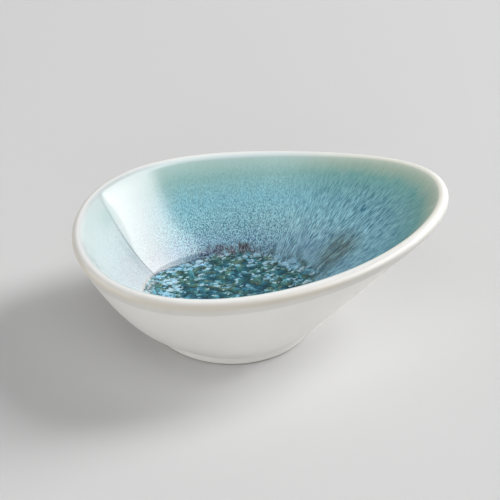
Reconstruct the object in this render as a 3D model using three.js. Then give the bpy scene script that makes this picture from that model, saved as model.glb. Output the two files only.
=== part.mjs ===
// A glazed stoneware dip bowl: an egg-shaped rim that sweeps up to a narrow tip, on a round foot ring.
// Millimetres, +Z up. +X runs to the tip, and the origin is on the table under the middle of the rim.
import * as THREE from "three";

// Rim, given as the line through the middle of the rounded lip.
const bowlLength = 125;
const lipRadius = 2.2;
const rimHalfLength = bowlLength / 2 - lipRadius;
const rimHalfWidth = 42;
const eggTaper = 0.211;
const eggFullness = 0.075;
const rimHeight = 36.3;
const rimTilt = 2.2;
const rimDip = 3;
const tipLift = 2.1;

// Foot ring.
const footCentreX = -10;
const footRadius = 28.3;
const footInnerRadius = 24.4;
const footHeight = 4.4;
const footTaper = 0.4;
const footEdge = 0.6;
const footBareHeight = 0.9;

// Wall: the outside and the inside are power curves up to the same lip, each from a foot radius of its own,
// and flatter under the tip than round the back. The wall is thickest at the bottom.
const roundBulge = 1.63;
const tipBulge = 1.1;
const leastSlopeShare = 0.02;
const wallFootShare = 0.06;
const innerFootRadius = 24.5;
const innerFootGrowth = 3;

// Floor: below the bend the inside wall runs straight to the edge of the floor, which lies higher at the two
// ends of the egg. A small round joins the two.
const bendShare = 0.3;
const floorHeight = 8.4;
const endRise = 1.1;
const floorPower = 3;
const cornerOnWall = 0.75;
const cornerOnFloor = 0.93;

// Coats of glaze on the fired clay. They are fused in the kiln, and the gap keeps each one its own solid.
const outerCoat = 0.55;
const innerCoat = 0.7;
const baseCoat = 0.4;
const fusedGap = 0.1;
const seamShare = 0.004;
const lipBandOutside = 0.94;
const lipBandInside = 0.9;
const clayLipShare = 0.15;
const poolDepth = 1.2;
const poolShare = 0.9;
const poolEdge = poolShare - seamShare / 2;

const quarterTurn = Math.PI / 2;
const roundSteps = 60;
const wallSteps = 6;
const lipSteps = 6;
const clayLipSteps = 4;
const innerSteps = 5;
const cornerSteps = 3;
const poolSteps = 4;

const clay = new THREE.MeshStandardMaterial({ color: 0xd8ccb6, roughness: 0.9, metalness: 0 });
const cream = new THREE.MeshStandardMaterial({ color: 0xe9e7df, roughness: 0.22, metalness: 0 });
const teal = new THREE.MeshStandardMaterial({ color: 0x4f9aa6, roughness: 0.12, metalness: 0 });
const crystal = new THREE.MeshStandardMaterial({ color: 0x2a6273, roughness: 0.08, metalness: 0 });

// The rim's middle line at a turn, where 0 is the tip.
function rimPoint(turn) {
  const along = Math.cos(turn);
  const width = rimHalfWidth * (1 - eggTaper * along + eggFullness * along ** 2);
  const height = rimHeight + rimTilt * along + rimDip * along ** 2 + tipLift * along ** 3;
  return new THREE.Vector3(rimHalfLength * along, width * Math.sin(turn), height);
}

// The upright section from the foot's axis to the rim at a turn, as functions that give (out, up) points.
// A depth of 0 is the glazed surface, and a greater depth lies that far inside the wall.
function sectionAt(turn) {
  const rim = rimPoint(turn);
  const rimOut = Math.hypot(rim.x - footCentreX, rim.y);
  const angle = Math.atan2(rim.y, rim.x - footCentreX);
  const endShare = Math.cos(angle) ** 2;
  const bulge = THREE.MathUtils.lerp(roundBulge, tipBulge, (1 + Math.cos(angle)) / 2);
  const foot = footHeight + lipRadius;
  const rise = rim.z - foot;
  const innerFoot = innerFootRadius + innerFootGrowth * endShare;
  const leanAt = (footOut, u) => {
    const share = Math.max(u, leastSlopeShare);
    return Math.atan((rise / (rimOut - footOut)) * bulge * share ** (bulge - 1));
  };
  const offset = (footOut, u, direction, depth) => {
    const distance = lipRadius - depth;
    return new THREE.Vector2(
      footOut + (rimOut - footOut) * u + distance * Math.cos(direction),
      foot + rise * u ** bulge + distance * Math.sin(direction),
    );
  };
  const outside = (u, depth) => offset(footRadius, u, leanAt(footRadius, u) - quarterTurn, depth);
  const inside = (u, depth) => offset(innerFoot, u, leanAt(innerFoot, u) + quarterTurn, depth);
  const lip = (share, depth) => {
    const start = leanAt(footRadius, 1) - quarterTurn;
    const end = leanAt(innerFoot, 1) + quarterTurn;
    return offset(footRadius, 1, THREE.MathUtils.lerp(start, end, share), depth);
  };

  // The floor is a power curve that leaves the centre level.
  const floorEdge = (depth) => {
    const bend = inside(bendShare, depth);
    const up = floorHeight + endRise * endShare - depth;
    return new THREE.Vector2(bend.x - (bend.y - up) / Math.tan(leanAt(innerFoot, bendShare)), up);
  };
  const floor = (share, depth) => {
    const edge = floorEdge(depth);
    const centre = floorHeight - depth;
    return new THREE.Vector2(edge.x * share, centre + (edge.y - centre) * share ** floorPower);
  };

  // The round between the wall and the floor, from its start on the wall.
  const corner = (share, depth) => {
    const edge = floorEdge(depth);
    const start = inside(bendShare, depth).lerp(edge, cornerOnWall);
    const end = floor(cornerOnFloor, depth);
    return new THREE.QuadraticBezierCurve(start, edge, end).getPoint(share);
  };
  return { angle, outside, inside, lip, corner, floor };
}

// Points of one line of a section, as a function of the share along it, between two shares.
function line(pointAt, from, to, steps) {
  return Array.from({ length: steps + 1 }, (_, i) => pointAt(THREE.MathUtils.lerp(from, to, i / steps)));
}

// Sweeps a section round the foot's axis. The section is worked out again at each turn of the rim,
// so the directions lie closest together at the two ends of the egg.
function swept(profileAt) {
  const width = profileAt(sectionAt(0)).length;
  const blank = Array.from({ length: width }, (_, j) => new THREE.Vector2(1, j));
  const geometry = new THREE.LatheGeometry(blank, roundSteps);
  const position = geometry.attributes.position;
  for (let i = 0; i <= roundSteps; i++) {
    const section = sectionAt((2 * Math.PI * (i % roundSteps)) / roundSteps);
    profileAt(section).forEach((point, j) => {
      const x = point.x * Math.cos(section.angle);
      const y = point.x * Math.sin(section.angle);
      position.setXYZ(i * width + j, x, y, point.y);
    });
  }
  geometry.computeVertexNormals();
  return geometry;
}

// A coat: the glazed line forwards, then the line under it backwards, closed into a ring.
function coat(surface, under) {
  return [...surface, ...under.reverse(), surface[0]];
}

// The underside of the pool, at an even step from its centre to its edge, or a gap below that.
// The pool is deepest at the centre and thins to the coat's depth at its edge.
function poolBed(section, step, gap) {
  const share = (poolEdge * step) / poolSteps;
  const depth = innerCoat + (poolDepth - innerCoat) * (1 - (step / poolSteps) ** 2);
  return section.floor(share, depth + gap);
}

const clayOutside = outerCoat + fusedGap;
const clayInside = innerCoat + fusedGap;
const clayUnderside = footHeight + clayOutside;
const footTop = clayUnderside - fusedGap;

// The fired clay of the bowl, from the middle of its flat underside, over the lip, to the middle of its floor.
function wallProfile(section) {
  return [
    new THREE.Vector2(0, clayUnderside),
    new THREE.Vector2(footRadius - clayOutside, clayUnderside),
    ...line((u) => section.outside(u, clayOutside), wallFootShare, 1, wallSteps),
    ...line((share) => section.lip(share, clayOutside), clayLipShare, 1 - clayLipShare, clayLipSteps),
    ...line((u) => section.inside(u, clayInside), 1, bendShare, innerSteps),
    ...line((share) => section.corner(share, clayInside), 0, 1, cornerSteps),
    section.floor(poolShare, clayInside),
    ...line((step) => poolBed(section, step, fusedGap), poolSteps - 1, 0, poolSteps - 1),
  ];
}

// The ring that the bowl stands on. Its lowest face is bare clay.
function footProfile() {
  const outer = footRadius - clayOutside;
  const points = [
    [footInnerRadius + footEdge, 0],
    [outer - footTaper - footEdge, 0],
    [outer - footTaper, footEdge],
    [outer, footTop],
    [footInnerRadius, footTop],
    [footInnerRadius, footEdge],
    [footInnerRadius + footEdge, 0],
  ];
  return points.map(([out, up]) => new THREE.Vector2(out, up));
}

// Cream glaze on the outside, from just above the table to just under the lip.
function outerGlazeProfile(section) {
  const side = (depth) => [
    new THREE.Vector2(footRadius - footTaper - depth, footBareHeight),
    new THREE.Vector2(footRadius - depth, footHeight + depth),
    ...line((u) => section.outside(u, depth), wallFootShare, lipBandOutside, wallSteps),
  ];
  return coat(side(0), side(outerCoat));
}

// Cream glaze rolled over the lip.
function lipGlazeProfile(section) {
  const band = (depth) => [
    section.outside(lipBandOutside + seamShare, depth),
    ...line((share) => section.lip(share, depth), 0, 1, lipSteps),
    section.inside(lipBandInside + seamShare, depth),
  ];
  return coat(band(0), band(outerCoat));
}

// Blue and green glaze that ran down the inside, from under the lip to the edge of the pool.
function innerGlazeProfile(section) {
  const side = (depth) => [
    ...line((u) => section.inside(u, depth), lipBandInside, bendShare, innerSteps),
    ...line((share) => section.corner(share, depth), 0, 1, cornerSteps),
    section.floor(poolShare + seamShare, depth),
  ];
  return coat(side(0), side(innerCoat));
}

// The thick, crystalled pool where the glaze gathered on the floor.
function poolProfile(section) {
  return [
    ...line((step) => poolBed(section, step, 0), 0, poolSteps, poolSteps),
    ...line((share) => section.floor(share, 0), poolEdge, 0, poolSteps),
  ];
}

// Cream glaze on the underside, inside the foot ring.
function baseGlazeProfile() {
  const edge = footInnerRadius - fusedGap;
  const points = [
    [0, footTop - baseCoat],
    [edge, footTop - baseCoat],
    [edge, footTop],
    [0, footTop],
  ];
  return points.map(([out, up]) => new THREE.Vector2(out, up));
}

function piece(name, profileAt, material) {
  const mesh = new THREE.Mesh(swept(profileAt), material);
  mesh.name = name;
  mesh.position.x = footCentreX;
  return mesh;
}

const bowl = new THREE.Group();
bowl.add(
  piece("clay_wall", wallProfile, clay),
  piece("foot_ring", footProfile, clay),
  piece("outer_glaze", outerGlazeProfile, cream),
  piece("lip_glaze", lipGlazeProfile, cream),
  piece("inner_glaze", innerGlazeProfile, teal),
  piece("pool_glaze", poolProfile, crystal),
  piece("base_glaze", baseGlazeProfile, cream),
);

export default bowl;
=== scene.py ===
# Looks of a small glazed stoneware dip bowl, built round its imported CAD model. Metres, +Z up.
import math

import bmesh
import bpy
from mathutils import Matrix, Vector


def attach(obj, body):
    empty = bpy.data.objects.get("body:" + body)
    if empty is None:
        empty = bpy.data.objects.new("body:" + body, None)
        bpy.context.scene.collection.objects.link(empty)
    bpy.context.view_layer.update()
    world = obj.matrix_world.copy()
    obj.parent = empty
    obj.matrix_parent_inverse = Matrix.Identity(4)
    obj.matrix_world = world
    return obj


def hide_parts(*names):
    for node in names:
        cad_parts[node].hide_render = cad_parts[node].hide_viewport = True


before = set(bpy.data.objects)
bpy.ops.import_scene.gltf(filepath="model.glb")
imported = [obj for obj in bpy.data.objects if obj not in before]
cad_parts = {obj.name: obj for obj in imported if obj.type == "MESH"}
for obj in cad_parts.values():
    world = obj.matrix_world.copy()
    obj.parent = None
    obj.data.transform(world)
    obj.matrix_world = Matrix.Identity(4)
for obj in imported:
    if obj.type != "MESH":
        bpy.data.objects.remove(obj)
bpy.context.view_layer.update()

print("frame loaded:", ", ".join(sorted(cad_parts)))

quarterTurn = math.pi / 2


def unitVector(bearing, height):
    # Points from the bowl to a place: degrees from +X towards +Y, and degrees above the table
    turn = math.radians(bearing)
    lift = math.radians(height)
    return Vector((math.cos(turn) * math.cos(lift), math.sin(turn) * math.cos(lift), math.sin(lift)))


def addObject(name, data):
    made = bpy.data.objects.new(name, data)
    bpy.context.scene.collection.objects.link(made)
    return made


# Camera, at the photograph's angle

viewing = {
    "lookAt": (0, 0, 0.018),
    "bearing": -99.15,  # where the camera stands, in degrees from +X towards +Y
    "height": 35,  # degrees
    "distance": 0.6155,
    "lens": 131.8,  # mm
    "sensor": 36,  # mm
    "shiftX": -0.0226,
    "shiftY": 0.0379,
    "clipStart": 0.01,
}


def makeCamera():
    camera = addObject("camera", bpy.data.cameras.new("camera"))
    back = unitVector(viewing["bearing"], viewing["height"])
    camera.location = Vector(viewing["lookAt"]) + back * viewing["distance"]
    camera.rotation_euler = (-back).to_track_quat("-Z", "Y").to_euler()
    camera.data.sensor_width = viewing["sensor"]
    camera.data.lens = viewing["lens"]
    camera.data.shift_x = viewing["shiftX"]
    camera.data.shift_y = viewing["shiftY"]
    camera.data.clip_start = viewing["clipStart"]
    bpy.context.scene.camera = camera


makeCamera()
print("camera made")


# Node helpers

class Term:
    # A number inside a node tree. Sums of Terms make Math nodes, so a tree reads as plain formulas.
    def __init__(self, tree, socket):
        self.tree = tree
        self.socket = socket

    def math(self, operation, *others):
        step = self.tree.nodes.new("ShaderNodeMath")
        step.operation = operation
        for port, value in zip(step.inputs, (self, *others)):
            feed(self.tree, port, value)
        return Term(self.tree, step.outputs[0])

    def __add__(self, other):
        return self.math("ADD", other)

    def __sub__(self, other):
        return self.math("SUBTRACT", other)

    def __mul__(self, other):
        return self.math("MULTIPLY", other)

    def __truediv__(self, other):
        return self.math("DIVIDE", other)

    def __pow__(self, other):
        return self.math("POWER", other)

    def over(self, least):  # 1 where this is greater than least, else 0
        return self.math("GREATER_THAN", least)

    def held(self):  # kept between 0 and 1
        return self.math("MAXIMUM", 0).math("MINIMUM", 1)

    def rest(self, share=1):  # what is left of 1 when this share of it is taken away
        return self * -share + 1

    def ranging(self, least, most):  # least where this is 0, most where it is 1
        return self * (most - least) + least

    def rising(self, low, high):  # smoothly from 0 at low to 1 at high
        step = addNode(self.tree, "ShaderNodeMapRange", {"Value": self, "From Min": low, "From Max": high},
                       interpolation_type="SMOOTHSTEP")
        return Term(self.tree, step.outputs[0])

    def near(self, middle, half):  # 1 at the middle, 0 beyond half on both sides
        return (self - middle).math("ABSOLUTE").rising(half, 0.0)

    def constant(self, value):  # a fixed number in the same tree
        node = self.tree.nodes.new("ShaderNodeValue")
        node.outputs[0].default_value = value
        return Term(self.tree, node.outputs[0])

    def blend(self, first, second, kind="MIX"):  # the first colour where this is 0, the second where it is 1
        step = addNode(self.tree, "ShaderNodeMix", {0: self}, data_type="RGBA", blend_type=kind)
        for port, colour in ((step.inputs[6], first), (step.inputs[7], second)):
            feed(self.tree, port, (*colour, 1) if isinstance(colour, tuple) else colour)
        return step.outputs[2]

    def coloured(self, stops):
        # A colour ramp, which spans the places of its first and last stops
        first, last = stops[0][0], stops[-1][0]
        ramp = addNode(self.tree, "ShaderNodeValToRGB", {0: (self - first) / (last - first)})
        points = ramp.color_ramp.elements
        while len(points) < len(stops):
            points.new(1)
        for point, (place, colour) in zip(points, stops):
            point.position = (place - first) / (last - first)
            point.color = (*colour, 1)
        return ramp.outputs[0]


def feed(tree, port, value):
    if isinstance(value, Term):
        value = value.socket
    if isinstance(value, bpy.types.NodeSocket):
        tree.links.new(value, port)
    else:
        port.default_value = value


def addNode(tree, kind, inputs=None, **settings):
    made = tree.nodes.new(kind)
    for name, value in settings.items():
        setattr(made, name, value)
    for name, value in (inputs or {}).items():
        feed(tree, made.inputs[name], value)
    return made


def vector(tree, **sides):
    return addNode(tree, "ShaderNodeCombineXYZ", sides).outputs[0]


def sidesOf(tree, whole):  # X, Y and Z
    return [Term(tree, port) for port in addNode(tree, "ShaderNodeSeparateXYZ", {0: whole}).outputs]


def scaled(tree, colour, factor):
    step = addNode(tree, "ShaderNodeVectorMath", {0: colour}, operation="SCALE")
    feed(tree, step.inputs["Scale"], factor)
    return step.outputs[0]


def vectorMath(tree, operation, first, second):
    return addNode(tree, "ShaderNodeVectorMath", {0: first, 1: second}, operation=operation).outputs[0]


def noise(tree, place, scale, detail=2.0, roughness=0.5):
    inputs = {"Vector": place, "Scale": scale, "Detail": detail, "Roughness": roughness}
    return Term(tree, addNode(tree, "ShaderNodeTexNoise", inputs).outputs[0])


# Cells of thick glaze, which the shape and the colours of the pool share

flakeShape = {
    "wobbleRate": 1.3,
    "shift": (1.0, 0.7, 0.0),
    "stretch": (0.78, 1.22, 1.0),
    "headings": (-0.6, 3.8),  # radians
    "edge": 0.10,
}
scaleCells = {"warp": 0.7, "shift": 0.0}
paleCells = {"warp": 1.0, "shift": 5.1}
chipCells = {"warp": 0.9, "shift": 11.3}


def flakes(tree, place, warp, shift):
    # Bent cells. Each has two random numbers, pick and other, and a slope, and rises inwards from its edge.
    wobble = addNode(tree, "ShaderNodeTexNoise", {"Vector": place, "Scale": flakeShape["wobbleRate"]})
    wobble = vectorMath(tree, "SUBTRACT", wobble.outputs["Color"], (0.5, 0.5, 0.5))
    bent = vectorMath(tree, "ADD", place, scaled(tree, wobble, warp))
    bent = vectorMath(tree, "ADD", bent, tuple(shift * share for share in flakeShape["shift"]))
    bent = vectorMath(tree, "MULTIPLY", bent, flakeShape["stretch"])
    cell, edge = (addNode(tree, "ShaderNodeTexVoronoi", {"Vector": bent, "Scale": 1.0}, feature=feature,
                          voronoi_dimensions="2D") for feature in ("F1", "DISTANCE_TO_EDGE"))
    pick, other, heading = sidesOf(tree, cell.outputs["Color"])
    turn = heading.ranging(*flakeShape["headings"])
    facing = vector(tree, X=turn.math("COSINE"), Y=turn.math("SINE"))
    fromMiddle = vectorMath(tree, "SUBTRACT", bent, cell.outputs["Position"])
    slant = addNode(tree, "ShaderNodeVectorMath", {0: fromMiddle, 1: facing}, operation="DOT_PRODUCT")
    inner = Term(tree, edge.outputs["Distance"]).rising(0.0, flakeShape["edge"])
    return {"pick": pick, "other": other, "slant": Term(tree, slant.outputs["Value"]), "inner": inner}


# Shape of the bowl: the same sizes and formulas as the CAD model, drawn finely

bowl = {
    "length": 0.125,
    "lip radius": 0.0022,
    "half width": 0.042,
    "egg taper": 0.211,
    "egg fullness": 0.075,
    "rim height": 0.0363,
    "rim tilt": 0.0022,
    "rim dip": 0.003,
    "tip lift": 0.0021,
    "foot centre": -0.010,
    "foot radius": 0.0283,
    "foot height": 0.0044,
    "foot taper": 0.0004,
    "bare height": 0.0003,
    "foot round": 0.0010,
    "round bulge": 1.63,
    "tip bulge": 1.1,
    "least slope share": 0.02,
    "inner foot": 0.0245,
    "inner foot growth": 0.003,
    "floor height": 0.0084,
    "end rise": 0.0011,
    "floor power": 3.0,
    "straight share": 0.3,
    "groove share": 0.075,
    "groove drop": 0.0008,
    "relief": 0.0,
    "relief start": 5.12,
    "relief end": 5.22,
    "flake rate": 360.0,
}

# Places along the inside, where 4 is the lip, 5 the floor's edge and 6 the middle of the floor
insidePlaces = {"bend": 4.8, "roundFrom": 4.95, "roundTo": 5.07}
seamDistance = 2e-6  # points nearer than this at the seam of the sheet are one


def lineAt(start, end, share):
    return tuple(a + (b - a) * share for a, b in zip(start, end))


def curveAt(start, control, end, share):
    return lineAt(lineAt(start, control, share), lineAt(control, end, share), share)


class Section:
    # The upright section from the foot's axis to the rim at one turn, as points (out, up). The outside and
    # the inside share the lip, and each is a curve from a foot radius of its own up to the rim.
    def __init__(self, size, turn):
        self.size = size
        along = turn.math("COSINE")
        square = along * along
        width = size["half width"] * (along * size["egg taper"] * -1 + square * size["egg fullness"] + 1)
        rimX = (size["length"] / 2 - size["lip radius"]) * along - size["foot centre"]
        rimY = width * turn.math("SINE")
        lift = along * size["rim tilt"] + square * size["rim dip"] + square * along * size["tip lift"]
        self.rimOut = (rimX * rimX + rimY * rimY).math("SQRT")
        self.bearingX = rimX / self.rimOut
        self.bearingY = rimY / self.rimOut
        self.bulge = size["round bulge"] + (size["tip bulge"] - size["round bulge"]) * (self.bearingX + 1) / 2
        self.bottom = size["foot height"] + size["lip radius"]
        self.rise = size["rim height"] + lift - self.bottom
        endShare = self.bearingX * self.bearingX
        self.innerFoot = size["inner foot"] + endShare * size["inner foot growth"]
        self.groove = self.grooveCorners()
        self.bend, self.floorEdge = self.bendAndFloorEdge(size["floor height"] + endShare * size["end rise"])

    def leanAt(self, footOut, share):
        slope = self.rise / (self.rimOut - footOut) * self.bulge
        slope = slope * share.math("MAXIMUM", self.size["least slope share"]) ** (self.bulge - 1)
        return slope.math("ARCTANGENT")

    def offsetFrom(self, footOut, share, direction):  # a lip radius off the curve, at this share of it
        radius = self.size["lip radius"]
        out = footOut + (self.rimOut - footOut) * share + radius * direction.math("COSINE")
        up = self.bottom + self.rise * share ** self.bulge + radius * direction.math("SINE")
        return out, up

    def outsideAt(self, share):
        footOut = self.size["foot radius"]
        return self.offsetFrom(footOut, share, self.leanAt(footOut, share) - quarterTurn)

    def insideAt(self, share):
        return self.offsetFrom(self.innerFoot, share, self.leanAt(self.innerFoot, share) + quarterTurn)

    def lipAt(self, share):
        rim = share.constant(1)
        footOut = self.size["foot radius"]
        start = self.leanAt(footOut, rim) - quarterTurn
        end = self.leanAt(self.innerFoot, rim) + quarterTurn
        return self.offsetFrom(footOut, rim, start + (end - start) * share)

    def grooveCorners(self):
        # Over the foot, a curve meets the foot's side and the wall, each at its own slope
        footOut = self.size["foot radius"]
        share = self.size["groove share"]
        endOut, endUp = self.outsideAt(share)
        cornerUp = endUp - (endOut - footOut) * self.leanAt(footOut, share).math("TANGENT")
        return (footOut, cornerUp - self.size["groove drop"]), (footOut, cornerUp), (endOut, endUp)

    def footSideAt(self, share):
        size = self.size
        startUp = self.groove[0][1]
        up = size["bare height"] + (startUp - size["bare height"]) * share
        under = (size["foot round"] - up).math("MAXIMUM", 0)
        tuck = size["foot round"] - (size["foot round"] ** 2 - under ** 2).math("SQRT")
        return size["foot radius"] - size["foot taper"] * share.rest() - tuck, up

    def bendAndFloorEdge(self, edgeUp):
        # Inside, the wall runs straight from its bend to the edge of the floor, which is higher at both ends
        share = self.size["straight share"]
        bendOut, bendUp = self.insideAt(share)
        slope = self.leanAt(self.innerFoot, share).math("TANGENT")
        return (bendOut, bendUp), (bendOut - (bendUp - edgeUp) / slope, edgeUp)

    def floorAt(self, share):
        edgeOut, edgeUp = self.floorEdge
        centre = self.size["floor height"]
        return edgeOut * share, centre + (edgeUp - centre) * share ** self.size["floor power"]


def profilePoint(section, down):
    # The profile goes up the foot's side from 0 to 1, over the groove to 2, up the outside to 3, over the lip
    # to 4, down the inside to 5 and along the floor to 6. A small round joins the inside wall to the floor.
    size = section.size
    bend, roundFrom, roundTo = (insidePlaces[name] for name in ("bend", "roundFrom", "roundTo"))
    stretch = [(down - first).held() for first in range(6)]
    groove = curveAt(*section.groove, stretch[1])
    outside = section.outsideAt(size["groove share"] + size["groove share"].rest() * stretch[2])
    lip = section.lipAt(stretch[3])
    wall = section.insideAt((size["straight share"] - 1) * (stretch[4] / (bend - 4)).held() + 1)
    straight = lineAt(section.bend, section.floorEdge, ((down - bend) / (5 - bend)).held())
    roundStart = lineAt(section.bend, section.floorEdge, (roundFrom - bend) / (5 - bend))
    roundShare = ((down - roundFrom) / (roundTo - roundFrom)).held()
    corner = curveAt(roundStart, section.floorEdge, section.floorAt(down.constant(6 - roundTo)), roundShare)
    floor = section.floorAt(stretch[5].rest())

    out, up = section.footSideAt(stretch[0])
    for first, (nextOut, nextUp) in ((1, groove), (2, outside), (3, lip), (4, wall), (bend, straight),
                                     (roundFrom, corner), (roundTo, floor)):
        past = down.over(first)
        out = out + (nextOut - out) * past
        up = up + (nextUp - up) * past
    return out, up


def surfaceInputs(tree):
    # Every size of the bowl, the part of the profile that a piece takes, its steps and its material
    for name, value in {**bowl, "from": 0.0, "to": 1.0}.items():
        tree.interface.new_socket(name, in_out="INPUT", socket_type="NodeSocketFloat").default_value = value
    for name, value in {"steps down": 24, "steps round": 320}.items():
        tree.interface.new_socket(name, in_out="INPUT", socket_type="NodeSocketInt").default_value = value
    tree.interface.new_socket("material", in_out="INPUT", socket_type="NodeSocketMaterial")
    tree.interface.new_socket("surface", in_out="OUTPUT", socket_type="NodeSocketGeometry")
    return tree.nodes.new("NodeGroupInput")


def stored(tree, geometry, name, value, kind):
    inputs = {"Geometry": geometry, "Name": name, "Value": value}
    return addNode(tree, "GeometryNodeStoreNamedAttribute", inputs, data_type=kind, domain="POINT").outputs[0]


def bowlSurfaceTree():
    # A flat sheet, bent into the bowl: its X runs along the profile and its Y round the foot's axis
    tree = bpy.data.node_groups.new("bowlSurface", "GeometryNodeTree")
    tree.is_modifier = True
    given = surfaceInputs(tree)
    size = {name: Term(tree, given.outputs[name]) for name in bowl}
    columns = Term(tree, given.outputs["steps down"]) + 1
    rows = Term(tree, given.outputs["steps round"]) + 1
    sheet = addNode(tree, "GeometryNodeMeshGrid", {"Size X": 1.0, "Size Y": 1.0,
                                                   "Vertices X": columns, "Vertices Y": rows})
    position = tree.nodes.new("GeometryNodeInputPosition").outputs[0]
    alongSheet, acrossSheet, _ = sidesOf(tree, position)
    start = Term(tree, given.outputs["from"])
    end = Term(tree, given.outputs["to"])
    down = start + (end - start) * (alongSheet + 0.5)
    turn = (acrossSheet + 0.5) * (2 * math.pi)
    section = Section(size, turn)
    out, up = profilePoint(section, down)
    x = size["foot centre"] + out * section.bearingX
    y = out * section.bearingY

    # Scales of thick glaze stand out of the pool
    scale = flakes(tree, scaled(tree, vector(tree, X=x, Y=y), size["flake rate"]), **scaleCells)
    risen = down.rising(size["relief start"], size["relief end"])
    up = up + (scale["slant"] + scale["inner"] * 0.5 - 0.5) * risen * size["relief"]

    # The glaze's pattern follows the surface, so points keep their place along the profile and their bearing
    bearing = vector(tree, X=section.bearingX, Y=section.bearingY)
    marked = stored(tree, sheet.outputs["Mesh"], "down", down, "FLOAT")
    marked = stored(tree, marked, "bearing", bearing, "FLOAT_VECTOR")
    inputs = {"Geometry": marked, "Position": vector(tree, X=x, Y=y, Z=up)}
    moved = addNode(tree, "GeometryNodeSetPosition", inputs)
    inputs = {"Geometry": moved.outputs[0], "Distance": seamDistance}
    joined = addNode(tree, "GeometryNodeMergeByDistance", inputs)
    flipped = addNode(tree, "GeometryNodeFlipFaces", {"Mesh": joined.outputs[0]})
    real = addNode(tree, "GeometryNodeRealizeInstances", {"Geometry": flipped.outputs[0]})
    painted = addNode(tree, "GeometryNodeSetMaterial", {"Geometry": real.outputs[0],
                                                        "Material": given.outputs["material"]})
    result = tree.nodes.new("NodeGroupOutput")
    tree.links.new(painted.outputs[0], result.inputs["surface"])
    return tree


bowlSurface = bowlSurfaceTree()
print("bowl surface ready")


# Finishes

def plainMaterial(name, colour, roughness):
    made = bpy.data.materials.new(name)
    made.use_nodes = True
    shader = made.node_tree.nodes["Principled BSDF"]
    shader.inputs["Base Color"].default_value = (*colour, 1)
    shader.inputs["Roughness"].default_value = roughness
    return made


def patternGroup(name, inputs):
    # A shader group that is given these values and gives out a colour and a height
    tree = bpy.data.node_groups.new(name, "ShaderNodeTree")
    for label, value in inputs.items():
        kind = "NodeSocketFloat" if isinstance(value, float) else "NodeSocketColor"
        tree.interface.new_socket(label, in_out="INPUT", socket_type=kind).default_value = value
    tree.interface.new_socket("Color", in_out="OUTPUT", socket_type="NodeSocketColor")
    tree.interface.new_socket("Height", in_out="OUTPUT", socket_type="NodeSocketFloat")
    return tree, tree.nodes.new("NodeGroupInput")


def giveOut(tree, colour, height):
    result = tree.nodes.new("NodeGroupOutput")
    feed(tree, result.inputs["Color"], colour)
    feed(tree, result.inputs["Height"], height)
    return tree


def placed(tree, group, values=None):
    made = tree.nodes.new("ShaderNodeGroup")
    made.node_tree = group
    for key, value in (values or {}).items():
        made.inputs[key].default_value = value
    return made


def objectPlace(tree):
    return tree.nodes.new("ShaderNodeTexCoord").outputs["Object"]


class GlazePlace:
    # The place along the profile, and the bearing in two parts: towards the tip, and across to the far side
    def __init__(self, tree):
        self.tree = tree
        self.bearing = addNode(tree, "ShaderNodeAttribute", attribute_name="bearing").outputs["Vector"]
        self.tip, self.across, _ = sidesOf(tree, self.bearing)
        marked = addNode(tree, "ShaderNodeAttribute", attribute_name="down")
        self.down = Term(tree, marked.outputs["Fac"])

    def noise(self, rates, detail, roughness=0.5):
        # Noise that follows the wall, with a rate round the bowl and a lower one down the fall line
        roundRate, downRate = rates
        fall = vector(self.tree, Z=self.down * downRate)
        place = vectorMath(self.tree, "ADD", scaled(self.tree, self.bearing, roundRate), fall)
        return noise(self.tree, place, 1.0, detail, roughness)


# Glaze that ran down the inside wall. In the dictionaries of the glazes, Down is a place along the profile:
# 3 to 4 is the lip, 4 to 5 the wall and 5 to 6 the floor. Tip, Across and Round are parts of the bearing,
# which are 1 at the tip, the far side and the round end. Two numbers say where an effect begins and where it
# is full, but a Spot has its middle and its width to each side, Rates run round the bowl and down it, and
# shares and shades are the least and the most.

wallColours = [
    (3.60, (0.90, 0.92, 0.91)),
    (3.90, (0.72, 0.84, 0.84)),
    (4.05, (0.52, 0.74, 0.69)),
    (4.15, (0.38, 0.65, 0.62)),
    (4.40, (0.34, 0.76, 0.88)),
    (4.65, (0.46, 0.92, 1.00)),
    (4.85, (0.42, 0.78, 1.00)),
    (5.00, (0.26, 0.44, 0.62)),
]
tipColours = [
    (3.60, (0.92, 0.92, 0.88)),
    (3.90, (0.84, 0.84, 0.75)),
    (4.05, (0.42, 0.54, 0.44)),
    (4.15, (0.19, 0.42, 0.39)),
    (4.40, (0.11, 0.37, 0.47)),
    (4.60, (0.10, 0.42, 0.62)),
    (4.90, (0.11, 0.36, 0.58)),
    (5.05, (0.14, 0.30, 0.38)),
]
# The round end is paler where its glaze runs thin, and paler still as painted light where the key lamp and
# the window's reflection fall on that wall
roundColours = [
    (3.60, (0.88, 0.90, 0.90)),
    (3.85, (0.46, 0.52, 0.52)),
    (4.05, (0.52, 0.59, 0.58)),
    (4.40, (0.60, 0.65, 0.66)),
    (4.80, (0.70, 0.70, 0.71)),
    (5.02, (0.78, 0.78, 0.79)),
    (5.12, (0.55, 0.60, 0.68)),
]
running = {
    "colourTip": (0.46, 0.98),
    "tipLoss": 0.22,  # the tip's colours reach less far round by this, low on the wall
    "tipLossDown": (4.2, 4.7),
    "colourRound": (0.28, 0.80),
    "fingerRates": (30, 4),
    "fingerReach": 0.22,
    "fingerDown": (3.80, 4.6),
    # Painted reflection: a mint patch at the round end, where the wall mirrors the bowl's own far side
    # instead of the window
    "mintReflectionAcrossSpot": (0.48, 0.20),
    "mintReflectionDownSpot": (4.16, 0.13),
    "mintReflectionShare": 0.8,
    "mintReflection": (0.80, 0.92, 0.90),
    "cloudRates": (11, 4),
    "cloudDown": (4.45, 4.85),
    "cloudCut": (0.40, 0.62),
    "cloudEndLoss": 0.6,
    "cloudShare": 0.4,
    "cloud": (1.12, 0.86, 1.02),
}
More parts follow.
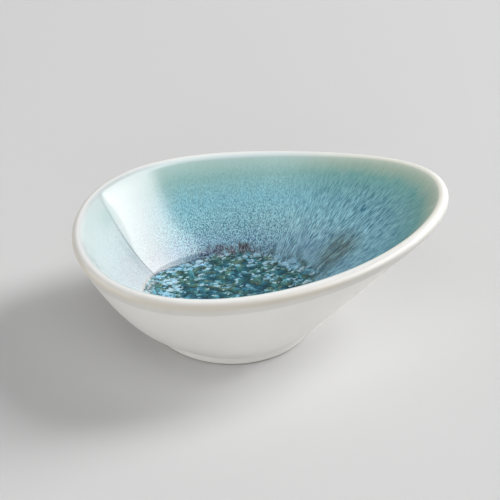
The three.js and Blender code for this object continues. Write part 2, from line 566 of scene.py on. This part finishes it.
grains = {
    "longRates": (215, 46),
    "shortRates": (150, 60),
    "hairRates": (390, 15),
    "shortDown": (4.25, 4.70),
    "hairTip": (0.45, 0.85),
    "cut": (0.44, 0.54),
    "contrast": 0.85,
    "contrastDown": (3.90, 4.85),
    "tipGainDown": (4.1, 4.4),
    "tipGain": 0.15,
    "roundLoss": 0.66,
    "dark": (0.03, 0.13, 0.26),
    "pale": (0.62, 0.96, 1.0),
    # Painted sheen: the pale grains brighten most low on the wall beside the tip, where that wall catches the
    # light
    "sheenShares": (0.72, 1.0),
    "sheenTipSpot": (0.60, 0.45),
    "sheenDownSpot": (4.66, 0.28),
}
# A thin dark line down the round end; the pale streak beside it is a painted reflection, and the darker band
# on its other side is painted shade
lineMarks = {
    "down": (3.88, 4.1),
    "streakAcross": (0.50, 0.54),
    "streakEndAcross": (0.93, 0.80),
    "streakEndDown": (4.95, 4.3),
    "streakShare": 0.5,
    "streak": (0.78, 0.81, 0.80),
    "shadeBandAcrossSpot": (0.465, 0.07),
    "shadeBandDown": (4.3, 4.7),
    "shadeBandShare": 0.7,
    "thin": (0.72, 0.80, 0.82),
    "lineAcrossSpot": (0.508, 0.013),
    "lineDown": (4.1, 4.6),
    "lineShares": (0.3, 0.8),
    "line": (0.20, 0.26, 0.26),
}
veins = {
    "rates": (64, 8),
    "acrossSpot": (0.19, 0.22),
    "downSpot": (4.80, 0.26),
    "gain": 2.2,
    "cut": (0.62, 0.50),
    "colourCut": (0.34, 0.56),
    "colours": [(0.0, (0.01, 0.03, 0.04)), (0.6, (0.07, 0.10, 0.09)), (1.0, (0.20, 0.24, 0.18))],
    "grainShare": 0.4,
    "grain": (0.30, 0.50, 0.56),
    "share": 0.9,
}


def runningColour(at, tipEnd, roundEnd):
    # Colours by the fall, in fingers, paler at the round end partly as painted light, with a mint patch there
    # as a painted reflection and faint violet clouds low down
    fingers = at.noise(running["fingerRates"], 3.0) - 0.5
    depth = at.down + fingers * at.down.rising(*running["fingerDown"]) * running["fingerReach"]
    colour = tipEnd.blend(depth.coloured(wallColours), depth.coloured(tipColours))
    colour = roundEnd.blend(colour, depth.coloured(roundColours))
    # Painted reflection: the mint patch darkens the pale round end where it mirrors the bowl's own wall
    mintReflection = at.across.near(*running["mintReflectionAcrossSpot"]) * at.down.near(*running["mintReflectionDownSpot"]) * roundEnd
    colour = (mintReflection * running["mintReflectionShare"]).blend(colour, running["mintReflection"], "MULTIPLY")
    clouds = at.noise(running["cloudRates"], 2.0).rising(*running["cloudCut"])
    clouds = at.down.rising(*running["cloudDown"]) * clouds
    clouds = clouds * roundEnd.rest(running["cloudEndLoss"]) * tipEnd.rest(running["cloudEndLoss"])
    return (clouds * running["cloudShare"]).blend(colour, running["cloud"], "MULTIPLY")


def grainPattern(at):
    # Long grains on the upper wall, short ones on the lower wall, and hairs on the tip's side
    kinds = ("longRates", "shortRates", "hairRates")
    longGrains, shortGrains, hairs = (at.noise(grains[kind], 1.0) for kind in kinds)
    grain = longGrains + (shortGrains - longGrains) * at.down.rising(*grains["shortDown"])
    grain = grain + (hairs - grain) * at.tip.rising(*grains["hairTip"])
    return grain.rising(*grains["cut"])


def grained(at, colour, grain, strength):
    # Dark grains and pale ones; the pale ones are strongest low on the wall beside the tip, a painted sheen
    # where that wall catches the light
    dark = strength.blend(colour, grains["dark"], "MULTIPLY")
    sheen = at.tip.near(*grains["sheenTipSpot"]) * at.down.near(*grains["sheenDownSpot"])
    pale = (strength * sheen.ranging(*grains["sheenShares"])).blend(colour, grains["pale"])
    return grain.blend(dark, pale)


def roundEndLine(at, colour, roundEnd):
    # A thin dark line down the round end, with a pale streak behind it as a painted reflection and a darker
    # band before it as painted shade
    ran = roundEnd * at.down.rising(*lineMarks["down"])
    # Painted reflection: a pale streak behind the line
    streak = ran * at.across.rising(*lineMarks["streakAcross"]) * at.across.rising(*lineMarks["streakEndAcross"])
    streak = streak * at.down.rising(*lineMarks["streakEndDown"])
    colour = (streak * lineMarks["streakShare"]).blend(colour, lineMarks["streak"])
    # Painted shade: a darker band before the line, where the reflection stops
    thin = ran * at.across.near(*lineMarks["shadeBandAcrossSpot"]) * at.down.rising(*lineMarks["shadeBandDown"])
    colour = (thin * lineMarks["shadeBandShare"]).blend(colour, lineMarks["thin"], "MULTIPLY")
    line = ran * at.across.near(*lineMarks["lineAcrossSpot"])
    line = line * at.down.rising(*lineMarks["lineDown"]).ranging(*lineMarks["lineShares"])
    return line.blend(colour, lineMarks["line"])


def oliveVeins(at, colour, grain, tipEnd):
    # Olive and black veins below the tip
    lines = at.noise(veins["rates"], 3.0, 0.6)
    patch = at.across.near(*veins["acrossSpot"]) * at.down.near(*veins["downSpot"]) * tipEnd
    patch = (patch * veins["gain"]).held() * lines.rising(*veins["cut"])
    olive = lines.rising(*veins["colourCut"]).coloured(veins["colours"])
    olive = (grain * veins["grainShare"]).blend(olive, veins["grain"])
    return (patch * veins["share"]).blend(colour, olive)


def runningGlazeGroup():
    tree, given = patternGroup("runningGlaze", {"Grain Contrast": grains["contrast"]})
    at = GlazePlace(tree)
    tipLoss = at.down.rising(*running["tipLossDown"]) * running["tipLoss"]
    tipEnd = (at.tip - tipLoss).rising(*running["colourTip"])
    roundEnd = (at.tip * -1).rising(*running["colourRound"])
    grain = grainPattern(at)
    tipGain = tipEnd * at.down.rising(*grains["tipGainDown"]) * grains["tipGain"]
    strength = (at.down.rising(*grains["contrastDown"]) + tipGain).held()
    strength = strength * Term(tree, given.outputs["Grain Contrast"]) * roundEnd.rest(grains["roundLoss"])
    colour = runningColour(at, tipEnd, roundEnd)
    colour = grained(at, colour, grain, strength)
    colour = roundEndLine(at, colour, roundEnd)
    colour = oliveVeins(at, colour, grain, tipEnd)
    return giveOut(tree, colour, grain * strength)


runningGlaze = runningGlazeGroup()


# The pool on the floor, of scales, pale flakes and small chips

scaleColours = [
    (0.00, (0.02, 0.09, 0.14)),
    (0.26, (0.05, 0.20, 0.27)),
    (0.42, (0.07, 0.21, 0.18)),
    (0.56, (0.12, 0.18, 0.12)),
    (0.72, (0.06, 0.27, 0.34)),
    (0.86, (0.22, 0.52, 0.68)),
    (1.00, (0.42, 0.60, 0.80)),
]
paleColours = [
    (0.0, (0.20, 0.45, 0.70)),
    (0.4, (0.34, 0.66, 0.82)),
    (0.8, (0.48, 0.76, 0.90)),
    (1.0, (0.66, 0.86, 0.95)),
]
# Pale chips: light blue bits of glaze, the palest of them painted glints
chipColours = [
    (0.0, (0.18, 0.48, 0.70)),
    (0.6, (0.44, 0.74, 0.90)),
    (1.0, (0.72, 0.90, 0.97)),
]
flaking = {
    "paleRate": 470.0,
    "chipRate": 1250.0,
    "fineRate": 2300.0,
    "patchRate": 170.0,
    "patchEdgeDown": (5.60, 5.15),
    "patchEdgeGain": 0.20,
    "patchLoss": 0.055,
    "patchRoundTip": (0.6, -0.4),
    "patchTip": (0.4, 0.7),
    "pickSpread": 0.3,  # how far a cell's own number moves it over the edge of a patch
}
# Painted shade across each scale, darker on its low side, and a painted highlight as the pale lip on its high
# side of some
scales = {
    "pickShare": 0.55,
    "patchShare": 1.5,
    "leastPick": 0.18,
    "slant": (-0.55, 0.45),
    "shades": (0.5, 1.6),
    "fineCut": (0.3, 0.7),
    "fineShades": (0.55, 1.25),
    "highlightWander": 0.5,
    "highlightSlant": (0.20, 0.38),
    "highlightPick": (0.40, 0.60),
    "highlightShare": 0.78,
    "lip": (0.34, 0.64, 0.80),
    "gapShare": 0.65,
    "gap": (0.012, 0.05, 0.07),
}
# Pale flakes, with painted shade across each of them
paleFlakes = {
    "leastPick": 0.48,
    "patch": (0.55, 0.63),
    "slantShare": 0.8,
    "edge": (0.10, 0.55),
    "slant": (-0.6, 0.3),
    "shades": (0.45, 1.05),
    "share": 0.92,
}
chips = {
    "paleLeastPick": 0.74,
    "patch": (0.48, 0.58),
    "paleShare": 0.85,
    "darkLeastPick": 0.84,
    "darkShare": 0.75,
    "dark": (0.02, 0.07, 0.11),
}
poolHeights = {"inner": 0.5, "slant": 0.5, "flakes": 0.6, "chips": 0.4}


def poolPatches(tree, place, at):
    # Patches of pale cells, with more of them near the pool's edge at the round end and below the tip
    ends = at.tip.rising(*flaking["patchRoundTip"]) + at.tip.rising(*flaking["patchTip"])
    edge = at.down.rising(*flaking["patchEdgeDown"]) * ends
    return noise(tree, place, flaking["patchRate"]) + edge * flaking["patchEdgeGain"] - flaking["patchLoss"]


def inPatch(patches, cell, limits):
    return (patches + (cell["pick"] - 0.5) * flaking["pickSpread"]).rising(*limits)


def scaleColour(tree, scale, patches, fine):
    # Overlapping scales, each with painted shade across it towards its low side, a pale lip on the high side
    # of some as a painted highlight, and dark gaps between them
    pick = scale["pick"] * scales["pickShare"] + (patches - 0.5) * scales["patchShare"] + scales["leastPick"]
    colour = pick.held().coloured(scaleColours)
    shade = scale["slant"].rising(*scales["slant"]).ranging(*scales["shades"])
    colour = scaled(tree, colour, shade * fine.rising(*scales["fineCut"]).ranging(*scales["fineShades"]))
    lip = (scale["slant"] + (fine - 0.5) * scales["highlightWander"]).rising(*scales["highlightSlant"])
    lip = lip * scale["other"].rising(*scales["highlightPick"])
    colour = (lip * scale["inner"] * scales["highlightShare"]).blend(colour, scales["lip"])
    return (scale["inner"].rest() * scales["gapShare"]).blend(colour, scales["gap"])


def flakedPoolGroup():
    rates = {"Flake Rate": bowl["flake rate"], "Pale Rate": flaking["paleRate"],
             "Chip Rate": flaking["chipRate"]}
    tree, given = patternGroup("flakedPool", rates)
    place = objectPlace(tree)
    scale = flakes(tree, scaled(tree, place, given.outputs["Flake Rate"]), **scaleCells)
    flake = flakes(tree, scaled(tree, place, given.outputs["Pale Rate"]), **paleCells)
    chip = flakes(tree, scaled(tree, place, given.outputs["Chip Rate"]), **chipCells)
    patches = poolPatches(tree, place, GlazePlace(tree))
    fine = noise(tree, place, flaking["fineRate"], 1.0)
    colour = scaleColour(tree, scale, patches, fine)

    # Pale flakes over the scales, each with painted shade across it
    pale = flake["other"].over(paleFlakes["leastPick"]) * inPatch(patches, flake, paleFlakes["patch"])
    rim = flake["inner"] + flake["slant"] * paleFlakes["slantShare"]
    pale = pale * rim.rising(*paleFlakes["edge"])
    shade = flake["slant"].rising(*paleFlakes["slant"]).ranging(*paleFlakes["shades"])
    paleColour = scaled(tree, flake["pick"].coloured(paleColours), shade)
    colour = (pale * paleFlakes["share"]).blend(colour, paleColour)

    # Small chips on top, pale and dark; the pale ones are light blue bits of glaze, the palest of them
    # painted glints
    paleChips = chip["other"].over(chips["paleLeastPick"]) * chip["inner"]
    paleChips = paleChips * inPatch(patches, chip, chips["patch"])
    darkChips = chip["other"].rest().over(chips["darkLeastPick"]) * chip["inner"]
    colour = (paleChips * chips["paleShare"]).blend(colour, chip["pick"].coloured(chipColours))
    colour = (darkChips * chips["darkShare"]).blend(colour, chips["dark"])
    height = scale["inner"] * poolHeights["inner"] + scale["slant"] * poolHeights["slant"]
    height = height + pale * poolHeights["flakes"] + paleChips * poolHeights["chips"]
    return giveOut(tree, colour, height)


flakedPool = flakedPoolGroup()


# The whole inside: the running glaze, the pool, and the tan clay, dark clusters and thin line between them

poolEdge = {
    "start": 4.985,
    "dipTip": -0.55,
    "dip": 0.085,
    "dipBend": 0.6,
    "tipRise": 0.05,
    "riseTip": (0.2, 0.7),
    "raggedRates": (15, 9),
    "raggedTip": (-0.4, 0.3),
    "raggedness": (0.05, 0.31),
    "softTip": (0.0, 0.6),
    "softness": (1, 7),
    "cut": (-0.012, 0.022),
    "speckRates": (62, 34),
    "speckCut": (0.36, 0.64),
    "runHeight": 0.3,
}
tanClay = {
    "round": (0.85, 0.95),
    "downSpot": (5.02, 0.13),
    "colours": [(0.0, (0.40, 0.34, 0.30)), (0.5, (0.70, 0.62, 0.55)), (1.0, (0.86, 0.83, 0.80))],
    "share": 0.9,
    "grainCut": (0.35, 0.65),
}
darkRing = {
    "strength": 1.0,
    "downSpot": (-0.03, 0.10),  # from the pool's start
    "tipSpot": (0.05, 0.75),
    "clusterRates": (11, 6),
    "clusterCut": (0.37, 0.52),
    "gain": 1.9,
    "share": 0.9,
    "brownTipSpot": (0.24, 0.50),
    "navy": [(0.0, (0.02, 0.03, 0.06)), (0.5, (0.12, 0.18, 0.30)), (1.0, (0.38, 0.52, 0.68))],
    "brown": [(0.0, (0.03, 0.025, 0.03)), (0.4, (0.13, 0.08, 0.065)), (0.7, (0.20, 0.17, 0.17)),
              (1.0, (0.36, 0.46, 0.58))],
}
thinLine = {
    "downSpot": (-0.004, 0.018),  # from the pool's start
    "round": (0.05, 0.35),
    "endRound": (0.93, 0.82),
    "speckCut": (0.95, 0.45),
    "share": 0.9,
    "colour": (0.03, 0.04, 0.07),
}


def insideGlazeGroup():
    tree, given = patternGroup("insideGlaze", {"Pool Start": poolEdge["start"],
                                               "Ring Strength": darkRing["strength"]})
    run = placed(tree, runningGlaze)
    pool = placed(tree, flakedPool)
    at = GlazePlace(tree)
    towardsRound = at.tip * -1
    specks = at.noise(poolEdge["speckRates"], 2.0, 0.6).rising(*poolEdge["speckCut"])

    # The pool starts lower beside the round end. Towards the tip it starts higher, softer and more ragged.
    dip = ((at.tip - poolEdge["dipTip"]) ** 2) * -poolEdge["dipBend"] + poolEdge["dip"]
    ringStart = Term(tree, given.outputs["Pool Start"]) + dip.math("MAXIMUM", 0)
    start = ringStart - at.tip.rising(*poolEdge["riseTip"]) * poolEdge["tipRise"]
    ragged = at.noise(poolEdge["raggedRates"], 3.0, 0.6) - 0.5
    depth = at.down + ragged * at.tip.rising(*poolEdge["raggedTip"]).ranging(*poolEdge["raggedness"])
    softness = at.tip.rising(*poolEdge["softTip"]).ranging(*poolEdge["softness"])
    pooled = ((depth - start) / softness).rising(*poolEdge["cut"])

    # Tan clay shows through at the round end, in grains
    tan = towardsRound.rising(*tanClay["round"]) * depth.near(*tanClay["downSpot"])
    tanColour = specks.coloured(tanClay["colours"])
    colour = (tan * tanClay["share"]).blend(run.outputs["Color"], tanColour)
    pooled = pooled * (tan * specks.rising(*tanClay["grainCut"])).rest(tanClay["share"])
    colour = pooled.blend(colour, pool.outputs["Color"])

    # Dark clusters along both sides of the pool, brown in their middle and navy beyond it
    clusters = at.noise(darkRing["clusterRates"], 2.0).rising(*darkRing["clusterCut"])
    ring = (depth - ringStart).near(*darkRing["downSpot"]) * at.tip.near(*darkRing["tipSpot"])
    ring = (ring * clusters * darkRing["gain"] * Term(tree, given.outputs["Ring Strength"])).held()
    navy, brown = (specks.coloured(darkRing[tone]) for tone in ("navy", "brown"))
    ringColour = at.tip.near(*darkRing["brownTipSpot"]).blend(navy, brown)
    colour = (ring * darkRing["share"]).blend(colour, ringColour)

    # A thin line of dark specks along the edge of the pool, on the side of the round end
    line = (depth - start).near(*thinLine["downSpot"]) * towardsRound.rising(*thinLine["round"])
    line = line * towardsRound.rising(*thinLine["endRound"]) * specks.rising(*thinLine["speckCut"])
    colour = (line * thinLine["share"]).blend(colour, thinLine["colour"])
    runHeight = Term(tree, run.outputs["Height"]) * poolEdge["runHeight"]
    height = runHeight + (Term(tree, pool.outputs["Height"]) - runHeight) * pooled
    return giveOut(tree, colour, height)


insideGlaze = insideGlazeGroup()


# Warm white glaze with a faint cloud and a few grains of iron, and tan where it is thin along the lip, a band
# that also darkens the lip's outer side as painted shade

creamLook = {
    "cream": (0.88, 0.87, 0.835, 1),
    "thin": (0.66, 0.61, 0.52, 1),
    "cloudRate": 60.0,
    "cloudCut": (0.35, 0.75),
    "cloudShare": 0.10,
    "bandDownSpot": (3.20, 0.32),
    "bandTip": (1.3, 0.2),
    "bandShare": 0.85,
    "wanderRates": (5, 3),
    "wander": 0.12,
    "ironRate": 420.0,
    "ironSize": (0.16, 0.07),
    "ironLeastPick": 0.93,
    "ironShare": 0.16,
    "iron": (0.42, 0.33, 0.24),
}


def creamGlazeGroup():
    tree, given = patternGroup("creamGlaze", {"Cream": creamLook["cream"], "Thin": creamLook["thin"]})
    place = objectPlace(tree)
    at = GlazePlace(tree)
    thin = given.outputs["Thin"]
    cloud = noise(tree, place, creamLook["cloudRate"], 3.0)
    cloudShare = cloud.rising(*creamLook["cloudCut"]) * creamLook["cloudShare"]
    colour = cloudShare.blend(given.outputs["Cream"], thin)
    # A tan band where the glaze is thin, which is also painted shade on the lip's outer side
    wander = (at.noise(creamLook["wanderRates"], 2.0) - 0.5) * creamLook["wander"]
    band = (at.down + wander).near(*creamLook["bandDownSpot"]) * at.tip.rising(*creamLook["bandTip"])
    colour = (band * creamLook["bandShare"]).blend(colour, thin)
    iron = addNode(tree, "ShaderNodeTexVoronoi", {"Vector": place, "Scale": creamLook["ironRate"]})
    lot = addNode(tree, "ShaderNodeSeparateColor", {0: iron.outputs["Color"]})
    grain = Term(tree, iron.outputs["Distance"]).rising(*creamLook["ironSize"])
    grain = grain * Term(tree, lot.outputs[0]).over(creamLook["ironLeastPick"])
    colour = (grain * creamLook["ironShare"]).blend(colour, creamLook["iron"])
    return giveOut(tree, colour, cloud)


creamGlaze = creamGlazeGroup()
print("glaze patterns made")


# Materials of the glazes and the clay

glazes = {
    "unlinked": (0.8, 0.8, 0.8),  # under the pattern, which replaces it
    "ior": 1.52,
    "creamRoughness": 0.30,
    "insideRoughness": 0.06,
    "poolRoughness": 0.10,
    "creamBump": 0.00002,
    "insideBump": 0.00003,
    "poolBump": 0.00008,
}
# Painted light and shade on the lip: a cream darker than the outside wall on its outer side, a lighter top,
# and grey towards the tip
lipLook = {
    "cream": (0.77, 0.76, 0.725, 1),
    "litTopDown": (3.35, 3.60),
    "top": (0.90, 0.895, 0.875),
    "shadedTip": (0.4, 0.95),
    "tipShadeShare": 0.4,
    "grey": (0.55, 0.545, 0.53),
    "insideDown": (3.55, 3.72),
    "smoothDown": (3.62, 3.84),
}
clayLook = {
    "colour": (0.69, 0.6, 0.47),
    "roughness": 0.85,
    "toneRate": 90.0,
    "toneCut": (0.35, 0.65),
    "dark": (0.64, 0.55, 0.43),
    "light": (0.73, 0.65, 0.53),
    "sandRate": 1500.0,
    "gritCut": (0.36, 0.26),
    "gritShare": 0.5,
    "grit": (0.34, 0.26, 0.18),
    "bump": 0.00006,
}


def dress(material, colour, height, bumpDepth):
    # Gives a material a pattern's colour, and its height as fine relief
    tree = material.node_tree
    shader = tree.nodes["Principled BSDF"]
    bump = addNode(tree, "ShaderNodeBump", {"Height": height, "Distance": bumpDepth, "Strength": 1.0})
    feed(tree, shader.inputs["Base Color"], colour)
    feed(tree, shader.inputs["Normal"], bump.outputs["Normal"])


def lipColour(tree, insideColour):
    # Cream with painted light and shade: darker on the lip's outer side, lightest along its top, and painted
    # greyer towards the tip where the key lamp falls; it turns into the inside glaze
    at = GlazePlace(tree)
    outer = placed(tree, creamGlaze, {"Cream": lipLook["cream"]})
    colour = at.down.rising(*lipLook["litTopDown"]).blend(outer.outputs["Color"], lipLook["top"])
    grey = at.tip.rising(*lipLook["shadedTip"]) * lipLook["tipShadeShare"]
    colour = grey.blend(colour, lipLook["grey"])
    return at.down.rising(*lipLook["insideDown"]).blend(colour, insideColour)


def glazeMaterial(name, roughness, bumpDepth, group, changed=None):
    made = plainMaterial(name, glazes["unlinked"], roughness)
    tree = made.node_tree
    tree.nodes["Principled BSDF"].inputs["IOR"].default_value = glazes["ior"]
    pattern = placed(tree, group)
    colour = pattern.outputs["Color"]
    if changed:
        colour = changed(tree, colour)
    dress(made, colour, pattern.outputs["Height"], bumpDepth)
    return made


def smoothTowardsInside(material):
    # The lip is as smooth as the inside where it turns down to it
    tree = material.node_tree
    turnedIn = GlazePlace(tree).down.rising(*lipLook["smoothDown"])
    roughness = turnedIn.ranging(glazes["creamRoughness"], glazes["insideRoughness"])
    feed(tree, tree.nodes["Principled BSDF"].inputs["Roughness"], roughness)


def clayMaterial():
    # Bare clay: sandy, with darker grit and a slight change of tone
    made = plainMaterial("fired clay", clayLook["colour"], clayLook["roughness"])
    tree = made.node_tree
    place = objectPlace(tree)
    sand = noise(tree, place, clayLook["sandRate"], 3.0, 0.7)
    tone = noise(tree, place, clayLook["toneRate"]).rising(*clayLook["toneCut"])
    colour = tone.blend(clayLook["dark"], clayLook["light"])
    grit = sand.rising(*clayLook["gritCut"]) * clayLook["gritShare"]
    dress(made, grit.blend(colour, clayLook["grit"]), sand, clayLook["bump"])
    return made


cream = glazeMaterial("cream glaze", glazes["creamRoughness"], glazes["creamBump"], creamGlaze)
lipGlaze = glazeMaterial("lip glaze", glazes["creamRoughness"], glazes["creamBump"], insideGlaze, lipColour)
smoothTowardsInside(lipGlaze)
teal = glazeMaterial("blue green glaze", glazes["insideRoughness"], glazes["insideBump"], insideGlaze)
pool = glazeMaterial("pooled glaze", glazes["poolRoughness"], glazes["poolBump"], insideGlaze)
clay = clayMaterial()


# Coats of glaze on the clay, each a part of the profile

coats = {
    "outerTop": 2.94,
    "lipEnd": 4.15,
    "poolStart": 5.1,
    "floorMiddle": 6.0,
    "outerThickness": 0.00055,
    "innerThickness": 0.0007,
    "relief": 0.00012,
    "creaseAngle": 50,
}


def bowlPiece(name, material, thickness, values):
    # Runs the tree with its own values, gives the surface a thickness inwards, and keeps a plain mesh
    piece = addObject(name, bpy.data.meshes.new(name))
    shape = piece.modifiers.new("bowl surface", "NODES")
    shape.node_group = bowlSurface
    sockets = {item.name: item.identifier for item in bowlSurface.interface.items_tree
               if item.in_out == "INPUT"}
    for key, value in values.items():
        shape[sockets[key]] = value
    shape[sockets["material"]] = material
    wall = piece.modifiers.new("coat", "SOLIDIFY")
    wall.thickness = thickness
    wall.offset = -1
    wall.use_even_offset = True
    finished = bpy.data.meshes.new_from_object(piece.evaluated_get(bpy.context.evaluated_depsgraph_get()))
    piece.modifiers.clear()
    piece.data = finished
    finished.name = name
    finished.shade_smooth()
    finished.set_sharp_from_angle(angle=math.radians(coats["creaseAngle"]))
    return piece


outerCoat = bowlPiece("outer_coat", cream, coats["outerThickness"],
                      {"from": 0.0, "to": coats["outerTop"], "steps down": 60, "steps round": 480})
lipCoat = bowlPiece("lip_coat", lipGlaze, coats["outerThickness"],
                    {"from": coats["outerTop"], "to": coats["lipEnd"], "steps down": 36, "steps round": 480})
innerCoat = bowlPiece("inner_coat", teal, coats["innerThickness"],
                      {"from": coats["lipEnd"], "to": coats["poolStart"], "steps down": 90})
poolCoat = bowlPiece("pool_coat", pool, coats["innerThickness"],
                     {"from": coats["poolStart"], "to": coats["floorMiddle"], "steps down": 70,
                      "steps round": 420, "relief": coats["relief"]})
for piece, node, slot in ((outerCoat, "outer_glaze", "cream_glaze"), (lipCoat, "lip_glaze", "cream_glaze"),
                          (innerCoat, "inner_glaze", "blue_green_glaze"),
                          (poolCoat, "pool_glaze", "pooled_glaze")):
    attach(piece, "root")
    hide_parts(node)
print("coats made")


# Underside: the foot ring and the glaze inside it, turned round the foot's axis

foot = {
    "inner radius": 0.0244,
    "inner round": 0.0007,
    "top": 0.00495,
    "glaze gap": 0.00003,
    "outer arc": (-46, -90),  # degrees, from the side to the bottom
    "inner arc": (-90, -180),
    "steps round": 180,
    "crease angle": 40,
    "merge distance": 1e-7,
}
base = {
    "radius": 0.02432,
    "thickness": 0.0004,
    "ridge": 0.00002,
    "ridge width": 0.0019,
    "dome": 0.00012,
    "gathered": 0.0003,
    "gathered width": 0.0007,
    "steps": 72,
}


def turned(name, points, material, node):
    # A closed profile of (out, up) points, turned round the foot's axis
    steps = foot["steps round"]
    count = len(points)
    places = []
    faces = []
    for step in range(steps):
        turn = 2 * math.pi * step / steps
        for out, up in points:
            places.append((bowl["foot centre"] + out * math.cos(turn), out * math.sin(turn), up))
        here, there = step * count, (step + 1) % steps * count
        for i in range(count):
            after = (i + 1) % count
            faces.append((here + i, there + i, there + after, here + after))
    mesh = bpy.data.meshes.new(name)
    mesh.from_pydata(places, [], faces)
    shape = bmesh.new()
    shape.from_mesh(mesh)
    bmesh.ops.remove_doubles(shape, verts=shape.verts, dist=foot["merge distance"])
    bmesh.ops.recalc_face_normals(shape, faces=shape.faces)
    shape.to_mesh(mesh)
    shape.free()
    mesh.materials.append(material)
    mesh.shade_smooth()
    mesh.set_sharp_from_angle(angle=math.radians(foot["crease angle"]))
    piece = addObject(name, mesh)
    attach(piece, "root")
    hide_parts(node)


def arc(centreOut, centreUp, radius, start, end, steps=8):
    turns = [math.radians(start + (end - start) * i / steps) for i in range(steps + 1)]
    return [(centreOut + radius * math.cos(turn), centreUp + radius * math.sin(turn)) for turn in turns]


def footProfile():
    side = bowl["foot radius"] - bowl["foot taper"] - foot["glaze gap"]
    outer = bowl["foot round"]
    inner = foot["inner round"]
    under = side - coats["outerThickness"]
    bottom = arc(side - outer, outer, outer, *foot["outer arc"])
    bottom += arc(foot["inner radius"] + inner, inner, inner, *foot["inner arc"])
    return [(under, foot["top"]), (under, outer), *bottom, (foot["inner radius"], foot["top"])]


def baseProfile():
    # Domed a little, with rings from the turning and the glaze gathered against the foot ring
    under = foot["top"] - base["thickness"]
    points = [(0.0, foot["top"]), (base["radius"], foot["top"])]
    for i in range(base["steps"] + 1):
        out = base["radius"] * (1 - i / base["steps"])
        ridge = base["ridge"] * math.cos(2 * math.pi * out / base["ridge width"])
        gathered = base["gathered"] * math.exp(-(base["radius"] - out) / base["gathered width"])
        points.append((out, under + base["dome"] * (1 - out / base["radius"]) + ridge - gathered))
    return points


turned("foot_turned", footProfile(), clay, "foot_ring")
turned("base_coat", baseProfile(), cream, "base_glaze")
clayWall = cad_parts["clay_wall"].data
clayWall.materials.clear()
clayWall.materials.append(clay)
print("underside made")


# Floor, lamps and world

studio = {
    "floorSize": 4.0,
    "floorGrey": 0.625,
    "floorRoughness": 0.9,
    "worldGrey": 0.20,
    "lampDistance": 3.0,
}

# Soft lamps, as they are seen from the bowl: the middle and the size in degrees, the bearing from +X towards
# +Y, and the brightness against a white surface. The first three only light, and the left one shows in the
# gloss as well. The panes show in the gloss alone, as the two panes of a wide window would. The wide pane
# fades out towards its edge, which leans over above the bend.
lamps = {
    "key": {"bearing": 17, "height": 30, "width": 18, "tall": 42, "brightness": 14.9, "glossy": False},
    "front": {"bearing": -97, "height": 18, "width": 40, "tall": 24, "brightness": 1.85, "glossy": False},
    "top": {"bearing": -97, "height": 64, "width": 50, "tall": 40, "brightness": 1.35, "glossy": False},
    "left": {"bearing": 180, "height": 12, "width": 50, "tall": 16, "brightness": 3.8},
    "wide pane": {"bearing": -27, "height": 27, "width": 70, "tall": 52, "brightness": 5.3, "diffuse": False,
                  "edge": 0.19, "bend": 0.56, "lean": 0.32, "fade": 0.10},
    "side pane": {"bearing": 38, "height": 16, "width": 48, "tall": 40, "brightness": 1.7, "diffuse": False},
}


def makeFloor():
    half = studio["floorSize"] / 2
    grey = studio["floorGrey"]
    corners = [(-half, -half, 0), (half, -half, 0), (half, half, 0), (-half, half, 0)]
    mesh = bpy.data.meshes.new("floor")
    mesh.from_pydata(corners, [], [(0, 1, 2, 3)])
    mesh.materials.append(plainMaterial("floor", (grey, grey, grey), studio["floorRoughness"]))
    floor = addObject("floor", mesh)


def makeLamp(name, shape):
    distance = studio["lampDistance"]
    width, tall = (2 * distance * math.tan(math.radians(shape[side] / 2)) for side in ("width", "tall"))
    light = bpy.data.lights.new(name, "AREA")
    light.shape = "RECTANGLE"
    light.size = width
    light.size_y = tall
    light.energy = shape["brightness"] * math.pi * width * tall
    lamp = addObject(name, light)
    back = unitVector(shape["bearing"], shape["height"])
    lamp.location = back * distance
    lamp.rotation_euler = back.to_track_quat("Z", "Y").to_euler()
    lamp.visible_diffuse = shape.get("diffuse", True)
    lamp.visible_glossy = shape.get("glossy", True)
    if "edge" in shape:
        fadeOut(light, shape)


def fadeOut(light, shape):
    light.use_nodes = True
    tree = light.node_tree
    onPane = tree.nodes.new("ShaderNodeNewGeometry").outputs["Parametric"]
    across, up, _ = sidesOf(tree, onPane)
    above = (up - shape["bend"]).math("MAXIMUM", 0)
    inwards = across - (above * -shape["lean"] + shape["edge"])
    feed(tree, tree.nodes["Emission"].inputs["Strength"], inwards.rising(-shape["fade"], shape["fade"]))


def makeWorld():
    world = bpy.data.worlds.new("studio")
    bpy.context.scene.world = world
    world.use_nodes = True
    background = world.node_tree.nodes["Background"]
    background.inputs["Color"].default_value = (1, 1, 1, 1)
    background.inputs["Strength"].default_value = studio["worldGrey"]


makeFloor()
for name, shape in lamps.items():
    makeLamp(name, shape)
makeWorld()
bpy.context.scene.view_settings.view_transform = "Standard"
print("studio made")
